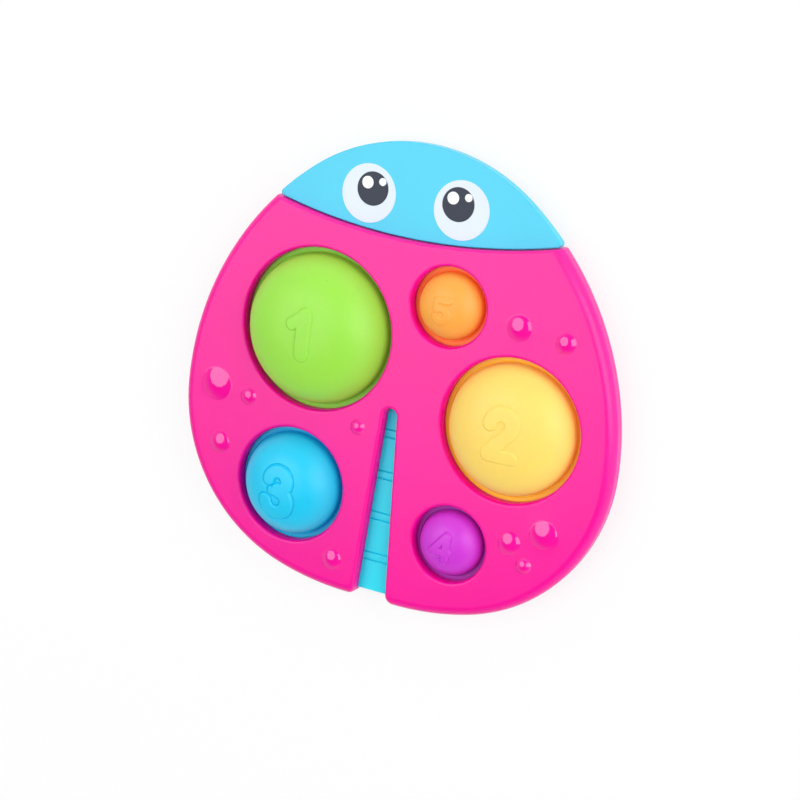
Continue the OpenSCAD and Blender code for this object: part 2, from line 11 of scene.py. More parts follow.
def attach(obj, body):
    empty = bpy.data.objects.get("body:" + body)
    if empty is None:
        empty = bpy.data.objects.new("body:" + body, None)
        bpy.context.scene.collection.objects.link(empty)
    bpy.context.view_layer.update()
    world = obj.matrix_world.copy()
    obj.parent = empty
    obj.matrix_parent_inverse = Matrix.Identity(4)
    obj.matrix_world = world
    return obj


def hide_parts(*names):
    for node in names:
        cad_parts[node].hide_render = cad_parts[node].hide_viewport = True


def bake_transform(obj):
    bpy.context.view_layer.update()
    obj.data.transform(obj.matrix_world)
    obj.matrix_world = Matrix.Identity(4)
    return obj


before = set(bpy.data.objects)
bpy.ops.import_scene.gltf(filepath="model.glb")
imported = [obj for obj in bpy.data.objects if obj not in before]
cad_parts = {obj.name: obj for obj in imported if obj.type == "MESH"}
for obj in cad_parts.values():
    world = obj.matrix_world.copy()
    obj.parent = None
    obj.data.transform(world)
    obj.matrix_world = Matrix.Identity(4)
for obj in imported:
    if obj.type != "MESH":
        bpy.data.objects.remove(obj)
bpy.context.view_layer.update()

# All sizes are in millimetres, as in the part's source; MM turns them to metres
MM = 0.001

# Body outline: tangent arcs and the directions in which they meet
HEAD_R, SIDE_R, HIP_R, TAIL_R = 62.8, 103.0, 59.6, 96.4
HEAD_TURN = np.array([0.6, 0.8])
SIDE_TURN = np.array([1.0, 0.0])
HIP_TURN = np.array([0.28, -0.96])
HEAD_C = np.array([0.0, 15.2])
SIDE_C = HEAD_C + (HEAD_R - SIDE_R) * HEAD_TURN
HIP_C = SIDE_C + (SIDE_R - HIP_R) * SIDE_TURN
TAIL_C = HIP_C + (HIP_R - TAIL_R) * HIP_TURN
TAIL_Y = TAIL_C[1] - TAIL_R

# Body shells: they meet at half thickness, with a fine groove there
BODY_T = 11.0
SPLIT_Z = BODY_T / 2
SPLIT_GROOVE = 0.12
WALL = 2.2
FRONT_EDGE_R, BACK_EDGE_R = 3.5, 5.0
SEAM_CORNER_R, WING_TIP_R = 1.1, 2.7
# The wing tips get sharper by this share of the edge's inset
WING_TIP_LOSS = 0.3
HOLLOW_CORNER_R, HOLLOW_TIP_R = 0.6, 0.8
LIP_R = 1.1
COLLAR_W = 2.0

# Seam between body and head, and the head with its own edges
SEAM_Y, SEAM_R, SEAM_GAP, SEAM_EDGE_R = 46.7, 200.0, 0.3, 1.2
SEAM_C = np.array([0.0, SEAM_Y + SEAM_R])
# The head's faces lie a step below the body's, and its outline stands a little over the body's
HEAD_STEP, HEAD_OVER, HEAD_GROOVE = 2.5, 0.18, 0.1
HEAD_FRONT_R, HEAD_BACK_R, HEAD_SEAM_R, HEAD_CORNER_R = 0.4, 2.6, 0.5, 1.2

# Slot, a wedge with a round end, and the strip under it with pairs of lines across
SLOT_TOP_Y, SLOT_END_R = -10.0, 2.4
SLOT_END_Y = SLOT_TOP_Y - SLOT_END_R
SLOT_ANGLE = math.radians(3.3)
# The slot's walls in the front shell end a lift above the strip
SLOT_EDGE_R, SLOT_LIFT = 1.2, 0.5
STRIP_TOP, STRIP_T, STRIP_FLANGE = 6.0, 1.6, 2.2
STRIP_TIP_R = SLOT_END_R + STRIP_FLANGE
STRIP_END_INSET, STRIP_END_R = 2.0, 0.3
STRIP_PAIRS, STRIP_PAIR_Y, STRIP_PAIR_STEP, STRIP_PAIR_GAP = 4, -19.8, 14.7, 2.7
LINE_W, LINE_DEEP, LINE_EDGE_W, LINE_EDGE_DEEP = 0.6, 0.9, 0.12, 0.05

# Silicone: flange with a bead, full-shouldered dome, crease at its foot, throat under it
# FLANGE_SHOW is the width of flange that is seen between dome and window
FLANGE_TOP, FLANGE_T, FLANGE_SHOW, FLANGE_GAP = 7.0, 1.6, 2.0, 0.05
BEAD_W, BEAD_RISE, BEAD_GAP = 1.2, 0.6, 0.1
DOME_T, DOME_SHOULDER = 1.4, 0.75
CREASE_R, CREASE_DEEP = 0.35, 0.4
# THROAT_MID and SEAT_EDGE_MID say where the middle row of a rounded edge lies
THROAT_R, THROAT_MID = 0.5, 0.15
# Height over the flange up to which the colour is painted darker and deeper: painted shade in the groove
# round the dome's foot
FLANGE_SHADE_H = 0.6

# Bubbles: place, window radius and dome height, then the number's field radius, net, scale, rise and groove
Bubble = namedtuple("Bubble", "x y window_r dome_h field_r net scale rise groove")
BUBBLES = {
    1: Bubble(-30.4, 11.1, 27.6, 16.0, 10.4, 120, 1.0, 0.45, 0.1),
    2: Bubble(42.5, -8.0, 24.1, 11.4, 11.2, 120, 1.0, 0.45, 0.1),
    3: Bubble(-34.0, -44.4, 19.9, 12.2, 11.5, 120, 1.0, 0.45, 0.45),
    4: Bubble(26.6, -50.9, 13.1, 7.8, 6.8, 88, 0.8, 0.45, 0.2),
    5: Bubble(16.0, 27.9, 13.2, 7.8, 6.6, 88, 0.8, 0.28, 0.05),
}
# Slope of the numbers' sides, and the fine groove round them, at scale 1
NUMBER_EDGE, NUMBER_SLOPE, GROOVE_AT, GROOVE_W = 0.12, 0.5, 0.3, 0.2

# Drops on the front face: x, y, radius
DROPS = [
    (-66.2, -15.4, 5.9), (-53.4, -17.3, 3.1), (-62.9, -35.9, 3.9), (-11.1, -18.7, 2.65),
    (-15.1, -66.9, 3.7), (41.2, 26.1, 4.4), (57.3, 24.2, 3.6), (47.7, -44.9, 4.0),
    (59.2, -39.4, 5.0), (53.7, -51.3, 2.75),
]
DROP_H = 1.2

# Screws from the back, their seats and bosses, and where they stand
SCREW_D, SCREW_L, SCREW_HEAD_D, SCREW_HEAD_H, SCREW_SINK = 2.6, 6.5, 4.8, 1.5, 2.4
BOSS_D, PILOT_END, PILOT_GAP, BORE_GAP = 6.0, 9.4, 0.075, 0.15
SEAT_EDGE_R, SEAT_EDGE_MID = 0.25, 0.07
SCREW_INSET, SCREW_STRIP_GAP, SCREW_MID = 12.0, 1.6, (5.0, 2.0)
HIP_SCREW_WAYS = ((-0.998, -0.063), (0.88, -0.475))
LUG_DROP, LUG_END, LUG_MID_X = 5.8, 8.0, -7.0
# Screw heads: heights of the rounded top and depth of the cross recess; the rest are shares of the radius
PAN_RISE, PAN_EDGE, CROSS_DEEP = 0.3, 0.25, 0.9
PAN_EDGE_FROM, PAN_EDGE_W = 0.8, 0.2
CROSS_REACH, CROSS_HALF_W, CROSS_SLOPE, CROSS_TAPER = 0.6, 0.17, 0.1, 0.55
# The shank is this many times as thick as its point
SCREW_POINT = 3

# Printed eyes; the soft edge of a print is its inset at shares of its thickness
EYE_MID_X, EYE_X, EYE_Y, EYE_R = -1.2, 16.6, 59.2, 9.7
PUPIL_R, PUPIL_IN, PUPIL_UP = 5.6, 1.3, 1.7
GLINTS = [(-2.0, 1.8, 2.05), (3.3, 2.7, 1.3)]
PRINT_T = 0.1
PRINT_EDGE = ((0.0, 0.0), (0.0, 0.4), (0.03, 0.8), (0.1, 1.0))

# Points on the stretches of half the body's plan, and the places of two stretches in the list of points
SEAM_N, CORNER_N, SIDE_N, HIP_N, TAIL_N, TIP_N, SLOT_N, SLOT_END_N = 18, 6, 22, 26, 14, 10, 16, 10
TIP_FROM = SEAM_N + CORNER_N + SIDE_N + HIP_N + TAIL_N
SLOT_FROM = TIP_FROM + TIP_N
# Points on the stretches of half the head's plan, after the seam
HEAD_CORNER_N, HEAD_SIDE_N, HEAD_TOP_N = 8, 14, 26
# Points round windows, bosses, drops and prints
WINDOW_N, SMALL_WINDOW_N, SMALL_WINDOW_R = 96, 72, 15.0
BOSS_N, DROP_N, PRINT_N = 32, 80, 72
# Rows on rounded edges, window lips and drops; the first rows of a lip have the look of the face
LARGE_EDGE_R, LARGE_EDGE_ROWS, SMALL_EDGE_ROWS, ROW_GAP = 2.0, 10, 7, 0.03
LIP_ROWS, LIP_FACE_ROWS, DROP_ROWS = 8, 3, 18
# Rows on the strip's round end, its lines and its tail, the angles at which they start, and points across
STRIP_TIP_ROWS, STRIP_TIP_FROM = 14, math.radians(88)
LINE_ROWS, LINE_FROM = 5, 0.5
STRIP_END_ROWS, STRIP_END_FROM = 4, 0.3
STRIP_ACROSS_N = 9
# Rows of the domes, and the net of a screw head; the rim of a net starts at -45 degrees
DOME_ROWS, HOLLOW_ROWS, CREASE_ROWS = 35, 31, 8
SCREW_NET = 40
NET_FROM = -math.pi / 4

# Places of the drops' and the window walls' materials in the shells' lists; the walls' material is a
# lighter copy of the pink, painted light for walls in shade
DROP_LOOK, WALL_PAINTED_LIGHT_LOOK = 1, 2
# Setting of delaunay_2d_cdt that keeps the triangles inside the edges, and its distance between points
INSIDE_EDGES, SAME_POINT = 1, 1e-7
# A triangle lies in a hole when its middle is within this share of the hole's radius
HOLE_SHARE = 0.999
EVEN_NORMALS_WEIGHT = 80


class Shape:
    """Collects the points and faces of one closed piece, in millimetres."""

    def __init__(self):
        self.verts = []
        self.faces = []
        self.looks = []

    def ring(self, points):
        """Adds points and returns their numbers."""
        start = len(self.verts)
        self.verts += [tuple(float(c) for c in p) for p in points]
        return list(range(start, len(self.verts)))

    def level_ring(self, plan, z):
        """Adds the points of a plan at one height."""
        return self.ring([(x, y, z) for x, y in plan])

    def bridge(self, a, b):
        """Four-sided faces between two rings of the same count."""
        n = len(a)
        for i in range(n):
            j = (i + 1) % n
            self.faces.append((a[i], a[j], b[j], b[i]))

    def fan(self, ring, point):
        """Triangles from a ring to one point."""
        tip = self.ring([point])[0]
        n = len(ring)
        for i in range(n):
            self.faces.append((ring[i], ring[(i + 1) % n], tip))

    def fill(self, outer, holes=()):
        """Triangles between an outer ring and round hole rings that lie in one level plane."""
        index = list(outer)
        edges = [(i, (i + 1) % len(outer)) for i in range(len(outer))]
        for hole in holes:
            at = len(index)
            index += list(hole)
            edges += [(at + i, at + (i + 1) % len(hole)) for i in range(len(hole))]
        flat = [Vector(self.verts[i][:2]) for i in index]
        _, _, triangles, sources, _, _ = delaunay_2d_cdt(flat, edges, [], INSIDE_EDGES, SAME_POINT)
        back = [index[source[0]] for source in sources]
        discs = []
        for hole in holes:
            pts = np.array([self.verts[i][:2] for i in hole])
            centre = pts.mean(axis=0)
            discs.append((centre, np.linalg.norm(pts[0] - centre)))
        for f in triangles:
            middle = np.mean([self.verts[back[i]][:2] for i in f], axis=0)
            if all(np.linalg.norm(middle - c) > r * HOLE_SHARE for c, r in discs):
                self.faces.append(tuple(back[i] for i in f))

    def lathe(self, ring, centre, steps, start=0.0):
        """Carries a round ring on through (radius, height) steps and returns the last ring."""
        for r, z in steps:
            last, ring = ring, self.ring(round_ring(*centre, r, z, len(ring), start))
            self.bridge(last, ring)
        return ring

    def sheet(self, x, y, z):
        """Faces over a square net of points, given as arrays; returns the net's rim."""
        points = np.stack([x, y, z], axis=-1)
        index = np.array(self.ring(points.reshape(-1, 3))).reshape(x.shape)
        for near, far in zip(index, index[1:]):
            for k in range(len(near) - 1):
                self.faces.append((near[k], far[k], far[k + 1], near[k + 1]))
        return net_rim(index)

    def make(self, name, sharp=32.0):
        """The mesh object, with smooth faces and edges sharper than the given degrees kept."""
        mesh = bpy.data.meshes.new(name)
        mesh.from_pydata([Vector(v) * MM for v in self.verts], [], self.faces)
        bm = bmesh.new()
        bm.from_mesh(mesh)
        bmesh.ops.recalc_face_normals(bm, faces=bm.faces)
        bm.to_mesh(mesh)
        bm.free()
        for p in mesh.polygons:
            p.use_smooth = True
        for start, stop, look in self.looks:
            for p in mesh.polygons[start:stop]:
                p.material_index = look
        mesh.set_sharp_from_angle(angle=math.radians(sharp))
        obj = bpy.data.objects.new(name, mesh)
        bpy.context.scene.collection.objects.link(obj)
        soft = obj.modifiers.new("even_normals", "WEIGHTED_NORMAL")
        soft.keep_sharp = True
        soft.weight = EVEN_NORMALS_WEIGHT
        return obj


def smooth(t):
    """A soft step from 0 to 1."""
    return t * t * (3 - 2 * t)


# Plan geometry
def round_ring(x, y, r, z, n, start=0.0):
    """n points round a circle at height z."""
    turns = [start + 2 * math.pi * i / n for i in range(n)]
    return [(x + r * math.cos(a), y + r * math.sin(a), z) for a in turns]


def angle_of(v):
    return math.atan2(v[1], v[0])


def arc(c, r, a0, a1, n):
    """n + 1 points on an arc from a0 to a1, the shorter way round."""
    turn = (a1 - a0 + math.pi) % (2 * math.pi) - math.pi
    angles = [a0 + turn * i / n for i in range(n + 1)]
    return [np.array([c[0] + r * math.cos(a), c[1] + r * math.sin(a)]) for a in angles]


def circles_meet(c1, r1, c2, r2):
    """The meeting point of two circles on the +X side."""
    d = c2 - c1
    dist = np.linalg.norm(d)
    a = (r1 * r1 - r2 * r2 + dist * dist) / (2 * dist)
    h = math.sqrt(max(r1 * r1 - a * a, 0.0))
    mid = c1 + d * a / dist
    side = np.array([-d[1], d[0]]) / dist * h
    return max((mid + side, mid - side), key=lambda p: p[0])


def seam_at(x):
    return SEAM_Y + SEAM_R - math.sqrt(SEAM_R ** 2 - x ** 2)


def strip_half_w(y):
    """Half the strip's width, round at its upper end and a wedge below."""
    if y > SLOT_END_Y + STRIP_TIP_R * math.sin(SLOT_ANGLE):
        return math.sqrt(max(STRIP_TIP_R ** 2 - (y - SLOT_END_Y) ** 2, 0.0))
    return STRIP_TIP_R / math.cos(SLOT_ANGLE) + (SLOT_END_Y - y) * math.tan(SLOT_ANGLE)


def screw_places():
    """Three screws through the head's lugs, one in the middle, two at the hips, two beside the strip."""
    out_x = circles_meet(SIDE_C, SIDE_R, SEAM_C, SEAM_R)[0] - LUG_END
    places = [(x, seam_at(x) - LUG_DROP) for x in (-out_x, LUG_MID_X, out_x)]
    places.append(SCREW_MID)
    reach = HIP_R - SCREW_INSET
    for x, y in HIP_SCREW_WAYS:
        places.append((math.copysign(HIP_C[0], x) + x * reach, HIP_C[1] + y * reach))
    y = TAIL_Y + SCREW_INSET
    x = strip_half_w(y) + BOSS_D / 2 + SCREW_STRIP_GAP
    return places + [(-x, y), (x, y)]


def whole(half):
    """A closed ring from its right half, which runs from one point on the middle line to another."""
    left = [np.array([-p[0], p[1]]) for p in half[-2:0:-1]]
    return half + left


def body_ring(egg, seam, slot, corner_r, tip_r):
    """Plan of the body with its outline, seam and slot edges set in by the given amounts."""
    c = circles_meet(SIDE_C, SIDE_R - egg - corner_r, SEAM_C, SEAM_R + seam + corner_r)
    on_seam = angle_of(c - SEAM_C)
    on_side = angle_of(c - SIDE_C)
    half = arc(SEAM_C, SEAM_R + seam, -math.pi / 2, on_seam, SEAM_N)[:-1]
    half += arc(c, corner_r, angle_of(SEAM_C - c), on_side, CORNER_N)[:-1]
    half += arc(SIDE_C, SIDE_R - egg, on_side, 0.0, SIDE_N)[:-1]
    hip_end = angle_of(HIP_TURN)
    half += arc(HIP_C, HIP_R - egg, 0.0, hip_end, HIP_N)[:-1]
    # The wing tip touches the tail's arc and the slot's straight edge
    along = np.array([math.sin(SLOT_ANGLE), -math.cos(SLOT_ANGLE)])
    into = np.array([math.cos(SLOT_ANGLE), math.sin(SLOT_ANGLE)])
    slot_end = np.array([0.0, SLOT_END_Y])
    base = slot_end + into * (SLOT_END_R + slot + tip_r)
    reach = TAIL_R - egg - tip_r
    b = np.dot(base - TAIL_C, along)
    t = -b + math.sqrt(b * b - np.dot(base - TAIL_C, base - TAIL_C) + reach * reach)
    tip = base + t * along
    on_tail = angle_of(tip - TAIL_C)
    half += arc(TAIL_C, TAIL_R - egg, hip_end, on_tail, TAIL_N)[:-1]
    half += arc(tip, tip_r, on_tail, angle_of(-into), TIP_N)[:-1]
    foot = tip - into * tip_r
    head = slot_end + into * (SLOT_END_R + slot)
    half += [foot + (head - foot) * i / SLOT_N for i in range(SLOT_N)]
    half += arc(slot_end, SLOT_END_R + slot, SLOT_ANGLE, math.pi / 2, SLOT_END_N)
    return whole(half)


def slot_share(i, n):
    """1 on the slot's walls, 0 on the outline and seam, in between round the wing tips."""
    half = n // 2
    k = i if i <= half else n - i
    return min(max((k - TIP_FROM) / (SLOT_FROM - TIP_FROM), 0.0), 1.0)


def head_ring(egg, seam, corner_r):
    """Plan of the head with its outline and its seam edge set in by the given amounts."""
    c = circles_meet(SIDE_C, SIDE_R - egg - corner_r, SEAM_C, SEAM_R - seam - corner_r)
    on_seam = angle_of(c - SEAM_C)
    on_side = angle_of(c - SIDE_C)
    half = arc(SEAM_C, SEAM_R - seam, -math.pi / 2, on_seam, SEAM_N)[:-1]
    half += arc(c, corner_r, on_seam, on_side, HEAD_CORNER_N)[:-1]
    half += arc(SIDE_C, SIDE_R - egg, on_side, angle_of(HEAD_TURN), HEAD_SIDE_N)[:-1]
    half += arc(HEAD_C, HEAD_R - egg, angle_of(HEAD_TURN), math.pi / 2, HEAD_TOP_N)
    return whole(half)


# Rounded edges
def fillet_inset(h, r):
    """How far a rounded edge of radius r stands in at depth h below its face."""
    return r - math.sqrt(max(r * r - (r - h) ** 2, 0.0)) if h < r else 0.0


def edge_depths(r, rows):
    """Depths below the face of the rows of points on a rounded edge of radius r, from the face down."""
    return [r * (1 - math.sin(math.pi / 2 * i / rows)) for i in range(rows, -1, -1)]


def depth_levels(*radii):
    """Depths below the face at which a wall with rounded edges of these radii gets a row of points."""
    out = set()
    for r in radii:
        rows = LARGE_EDGE_ROWS if r > LARGE_EDGE_R else SMALL_EDGE_ROWS
        out |= {round(h, 4) for h in edge_depths(r, rows)}
    levels = sorted(out)
    kept = [levels[0]]
    for h in levels[1:]:
        if h - kept[-1] > ROW_GAP:
            kept.append(h)
    return kept


# Body shells
def shell_wall(s, front, level):
    """Outer wall, rim and wall of the hollow; returns the rings round the face and the hollow's roof."""
    edge_r = FRONT_EDGE_R if front else BACK_EDGE_R
    slot_rim = BODY_T - STRIP_TOP - SLOT_LIFT if front else STRIP_TOP - STRIP_T
    rings = []
    for h in depth_levels(edge_r, SEAM_EDGE_R):
        egg, seam, slot = (fillet_inset(h, r) for r in (edge_r, SEAM_EDGE_R, SLOT_EDGE_R))
        plan = body_ring(egg, seam, slot, SEAM_CORNER_R, WING_TIP_R - WING_TIP_LOSS * egg)
        rings.append(s.level_ring(plan, level(h)))
    n = len(rings[0])
    hollow = body_ring(WALL, WALL, WALL, HOLLOW_CORNER_R, HOLLOW_TIP_R)
    rim_plans = [
        (body_ring(0.0, 0.0, 0.0, SEAM_CORNER_R, WING_TIP_R), SPLIT_Z - SPLIT_GROOVE),
        (body_ring(SPLIT_GROOVE, 0.0, 0.0, SEAM_CORNER_R, WING_TIP_R), SPLIT_Z),
        (hollow, SPLIT_Z),
    ]
    for plan, rim in rim_plans:
        depths = [rim + (slot_rim - SPLIT_Z) * slot_share(i, n) for i in range(n)]
        rings.append(s.ring([(x, y, level(d)) for (x, y), d in zip(plan, depths)]))
    rings.append(s.level_ring(hollow, level(WALL)))
    for a, b in zip(rings, rings[1:]):
        start = len(s.faces)
        s.bridge(a, b)
        slot_top = s.verts[a[n // 2]]
        if abs(slot_top[2] - level(0)) > SLOT_EDGE_R / 2:
            s.looks.append((start + SLOT_FROM, start + n - SLOT_FROM, WALL_PAINTED_LIGHT_LOOK))
    return rings[0], rings[-1]


def shell_windows(s, front, level):
    """Windows with lip and collar; returns their rings in the face and in the hollow's roof."""
    collar_z = level(BODY_T - FLANGE_TOP if front else FLANGE_TOP - FLANGE_T)
    mouths, collars = [], []
    for b in BUBBLES.values():
        r, place = b.window_r, (b.x, b.y)
        count = WINDOW_N if r > SMALL_WINDOW_R else SMALL_WINDOW_N
        lip = [(r + fillet_inset(h, LIP_R), level(h)) for h in edge_depths(LIP_R, LIP_ROWS)]
        mouth = s.ring(round_ring(*place, *lip[0], count))
        edge = s.lathe(mouth, place, lip[1:LIP_FACE_ROWS + 1])
        start = len(s.faces)
        foot = s.lathe(edge, place, lip[LIP_FACE_ROWS + 1:] + [(r, collar_z)])
        s.looks.append((start, len(s.faces), WALL_PAINTED_LIGHT_LOOK))
        mouths.append(mouth)
        collars.append(s.lathe(foot, place, [(r + COLLAR_W, collar_z), (r + COLLAR_W, level(WALL))]))
    return mouths, collars


def shell_bosses(s):
    """Bosses of the front shell with blind pilot holes; returns their rings in the hollow's roof."""
    boss, pilot = BOSS_D / 2, SCREW_D / 2 + PILOT_GAP
    tops = []
    for place in screw_places():
        top = s.ring(round_ring(*place, boss, BODY_T - WALL, BOSS_N))
        end = s.lathe(top, place, [(boss, SPLIT_Z), (pilot, SPLIT_Z), (pilot, PILOT_END)])
        s.fan(end, (*place, PILOT_END))
        tops.append(top)
    return tops


def shell_seats(s):
    """Sunk screw seats of the back shell; returns their rings in the face and in the hollow's roof."""
    sink, bore, boss = SCREW_HEAD_D / 2 + BORE_GAP, SCREW_D / 2 + BORE_GAP, BOSS_D / 2
    steps = [
        (sink + SEAT_EDGE_MID, SEAT_EDGE_MID), (sink, SEAT_EDGE_R), (sink, SCREW_SINK), (bore, SCREW_SINK),
        (bore, SPLIT_Z), (boss, SPLIT_Z), (boss, WALL),
    ]
    mouths, ends = [], []
    for place in screw_places():
        mouth = s.ring(round_ring(*place, sink + SEAT_EDGE_R, 0.0, BOSS_N))
        mouths.append(mouth)
        ends.append(s.lathe(mouth, place, steps))
    return mouths, ends


def shell_drops(s):
    """Moulded drops on the front face, each a cap of a ball; returns their rings in the face."""
    feet = []
    for x, y, r in DROPS:
        ball = (r * r + DROP_H * DROP_H) / (2 * DROP_H)
        span = math.asin(r / ball)
        turns = [span * k / DROP_ROWS for k in range(DROP_ROWS - 1, 0, -1)]
        steps = [(ball * math.sin(a), BODY_T + (ball * math.cos(a) + DROP_H - ball)) for a in turns]
        foot = s.ring(round_ring(x, y, r, BODY_T, DROP_N))
        start = len(s.faces)
        end = s.lathe(foot, (x, y), steps)
        s.fan(end, (x, y, BODY_T + DROP_H))
        s.looks.append((start, len(s.faces), DROP_LOOK))
        feet.append(foot)
    return feet


def make_shell(name, front):
    """One hollow half of the pink body: rounded outside, windows, collars, bosses or seats, and drops."""
    def level(h):
        return BODY_T - h if front else h

    s = Shape()
    face, roof = shell_wall(s, front, level)
    face_holes, roof_holes = shell_windows(s, front, level)
    if front:
        roof_holes += shell_bosses(s)
        face_holes += shell_drops(s)
    else:
        mouths, ends = shell_seats(s)
        face_holes += mouths
        roof_holes += ends
    s.fill(face, face_holes)
    s.fill(roof, roof_holes)
    return s.make(name)


# Head
def make_head(name, front):
    """One half of the blue head, with a fine groove where the halves meet."""
    def level(h):
        return BODY_T - HEAD_STEP - h if front else HEAD_STEP + h

    edge_r = HEAD_FRONT_R if front else HEAD_BACK_R
    rim = SPLIT_Z - HEAD_STEP
    s = Shape()
    rings = []
    for h in depth_levels(edge_r, HEAD_SEAM_R):
        egg, seam = fillet_inset(h, edge_r) - HEAD_OVER, SEAM_GAP + fillet_inset(h, HEAD_SEAM_R)
        rings.append(s.level_ring(head_ring(egg, seam, HEAD_CORNER_R), level(h)))
    for inset, up in ((0.0, HEAD_GROOVE), (HEAD_GROOVE, 0.0)):
        plan = head_ring(inset - HEAD_OVER, SEAM_GAP, HEAD_CORNER_R)
        rings.append(s.level_ring(plan, level(rim - up)))
    for a, b in zip(rings, rings[1:]):
        s.bridge(a, b)
    s.fill(rings[0])
    s.fill(rings[-1])
    return s.make(name)


# Tail strip
def strip_rows():
    """Rows across the strip, from its round end to its tail: the place along Y and the depth."""
    turns = np.linspace(STRIP_TIP_FROM, SLOT_ANGLE, STRIP_TIP_ROWS)
    rows = [(SLOT_END_Y + STRIP_TIP_R * math.sin(a), 0.0) for a in turns]
    half, hollow = LINE_W / 2, LINE_DEEP - LINE_EDGE_DEEP
    turns = np.linspace(LINE_FROM, math.pi - LINE_FROM, LINE_ROWS)
    for i in range(STRIP_PAIRS):
        for side in (0.5, -0.5):
            y = STRIP_PAIR_Y - i * STRIP_PAIR_STEP + side * STRIP_PAIR_GAP
            rows += [(y + half + LINE_EDGE_W, 0.0), (y + half, LINE_EDGE_DEEP)]
            rows += [(y + half * math.cos(a), LINE_EDGE_DEEP + hollow * math.sin(a)) for a in turns]
            rows += [(y - half, LINE_EDGE_DEEP), (y - half - LINE_EDGE_W, 0.0)]
    end_y = TAIL_Y + STRIP_END_INSET
    rows.append((end_y + STRIP_END_R, 0.0))
    for a in np.linspace(STRIP_END_FROM, math.pi / 2, STRIP_END_ROWS):
        rows.append((end_y + STRIP_END_R * (1 - math.sin(a)), STRIP_END_R * (1 - math.cos(a))))
    return rows


def make_strip(name):
    """The tail strip: a wedge plate with a round end and pairs of rounded grooves across it."""
    s = Shape()
    shares = np.linspace(-1, 1, STRIP_ACROSS_N)
    top, low = [], []
    for y, dip in strip_rows():
        half = strip_half_w(y)
        top.append(s.ring([(half * u, y, STRIP_TOP - dip) for u in shares]))
        low.append(s.ring([(half * u, y, STRIP_TOP - STRIP_T) for u in (-1, 1)]))
    for a, b in zip(top, top[1:]):
        for i in range(len(a) - 1):
            s.faces.append((a[i], a[i + 1], b[i + 1], b[i]))
    for k in range(len(top) - 1):
        s.faces.append((low[k][0], low[k][1], low[k + 1][1], low[k + 1][0]))
        s.faces.append((top[k][0], low[k][0], low[k + 1][0], top[k + 1][0]))
        s.faces.append((top[k][-1], top[k + 1][-1], low[k + 1][1], low[k][1]))
    for k in (0, -1):
        s.faces.append(tuple(top[k]) + (low[k][1], low[k][0]))
    return s.make(name, sharp=40)


# Raised numbers: strokes about the dome's middle, as in the part's source
def line(p, q, w):
    """A straight stroke of half width w."""
    return ("line", np.array(p), np.array(q), w)


def bend(c, r, w, a0, a1):
    """A round stroke of half width w, from angle a0 to a1 in degrees."""
    return ("bend", np.array(c), r, w, math.radians(a0), math.radians(a1))


NUMBERS = {
    1: [line((1.1, -6.7), (1.2, 6.6), 2.5),
        line((1.0, 6.4), (-3.1, 3.1), 2.1)],
    2: [bend((-0.3, 3.4), 3.8, 2.5, -40, 180),
        line((2.6, 0.9), (-3.9, -6.6), 2.35),
        line((-4.0, -7.0), (4.1, -6.8), 2.25)],
    3: [bend((-0.7, 2.6), 3.5, 2.15, -80, 175),
        line((-2.7, -0.9), (1.2, -0.9), 1.45),
        bend((-0.9, -4.4), 4.15, 2.35, -173, 80)],
    4: [line((0.6, 3.9), (-3.8, -1.8), 1.2),
        line((-3.8, -2.2), (1.7, -1.5), 1.2),
        line((0.9, 3.9), (0.6, -4.2), 1.25)],
    5: [line((-2.6, 2.5), (1.6, 2.7), 1.2),
        line((-2.6, 2.5), (-2.7, -0.3), 1.15),
        bend((-0.9, -2.2), 2.2, 1.2, -160, 130)],
}


def stroke_distance(stroke, x, y):
    """Distance outside a stroke's edge, negative inside."""
    if stroke[0] == "line":
        _, p, q, w = stroke
        d = q - p
        t = np.clip(((x - p[0]) * d[0] + (y - p[1]) * d[1]) / np.dot(d, d), 0, 1)
        return np.hypot(x - p[0] - t * d[0], y - p[1] - t * d[1]) - w
    _, c, r, w, a0, a1 = stroke
    dx, dy = x - c[0], y - c[1]
    mid = (a0 + a1) / 2
    off = (np.arctan2(dy, dx) - mid + math.pi) % (2 * math.pi) - math.pi
    off = np.clip(off, a0 - mid, a1 - mid)
    return np.hypot(dx - r * np.cos(mid + off), dy - r * np.sin(mid + off)) - w


def number_height(i, x, y):
    """Height of the raised number over the dome, with the fine groove round its foot."""
    b = BUBBLES[i]
    d = np.min([stroke_distance(s, x, y) for s in NUMBERS[i]], axis=0)
    t = np.clip((NUMBER_EDGE * b.scale - d) / (NUMBER_SLOPE * b.scale), 0, 1)
    groove = b.groove * np.exp(-((d - GROOVE_AT * b.scale) / (GROOVE_W * b.scale)) ** 2)
    return b.rise * smooth(t) - groove


# Nets of points over round tops
def disc_net(n):
    """A square net of (n + 1) by (n + 1) points drawn out to a round disc of radius 1."""
    a, b = np.meshgrid(np.linspace(-1, 1, n + 1), np.linspace(-1, 1, n + 1), indexing="ij")
    wide = np.abs(a) > np.abs(b)
    r = np.where(wide, a, b)
    safe_a, safe_b = np.where(a == 0, 1, a), np.where(b == 0, 1, b)
    turn = np.where(wide, math.pi / 4 * b / safe_a, math.pi / 2 - math.pi / 4 * a / safe_b)
    return r * np.cos(turn), r * np.sin(turn)


def net_rim(index):
    """The outer ring of a square net of point numbers, from angle -45 degrees on, counter-clockwise."""
    sides = (index[-1, :-1], index[:0:-1, -1], index[0, :0:-1], index[:-1, 0])
    return [int(i) for side in sides for i in side]


# Silicone bubbles
def dome_point(r, h, a):
    """Radius and height of a full-shouldered dome at angle a, 0 at its top and 90 degrees at its foot."""
    return r * math.sin(a) ** DOME_SHOULDER, FLANGE_TOP + h * math.cos(a)


def dome_angle(r, at):
    """The angle at which a dome of foot radius r has the radius at."""
    return math.asin((at / r) ** (1 / DOME_SHOULDER))


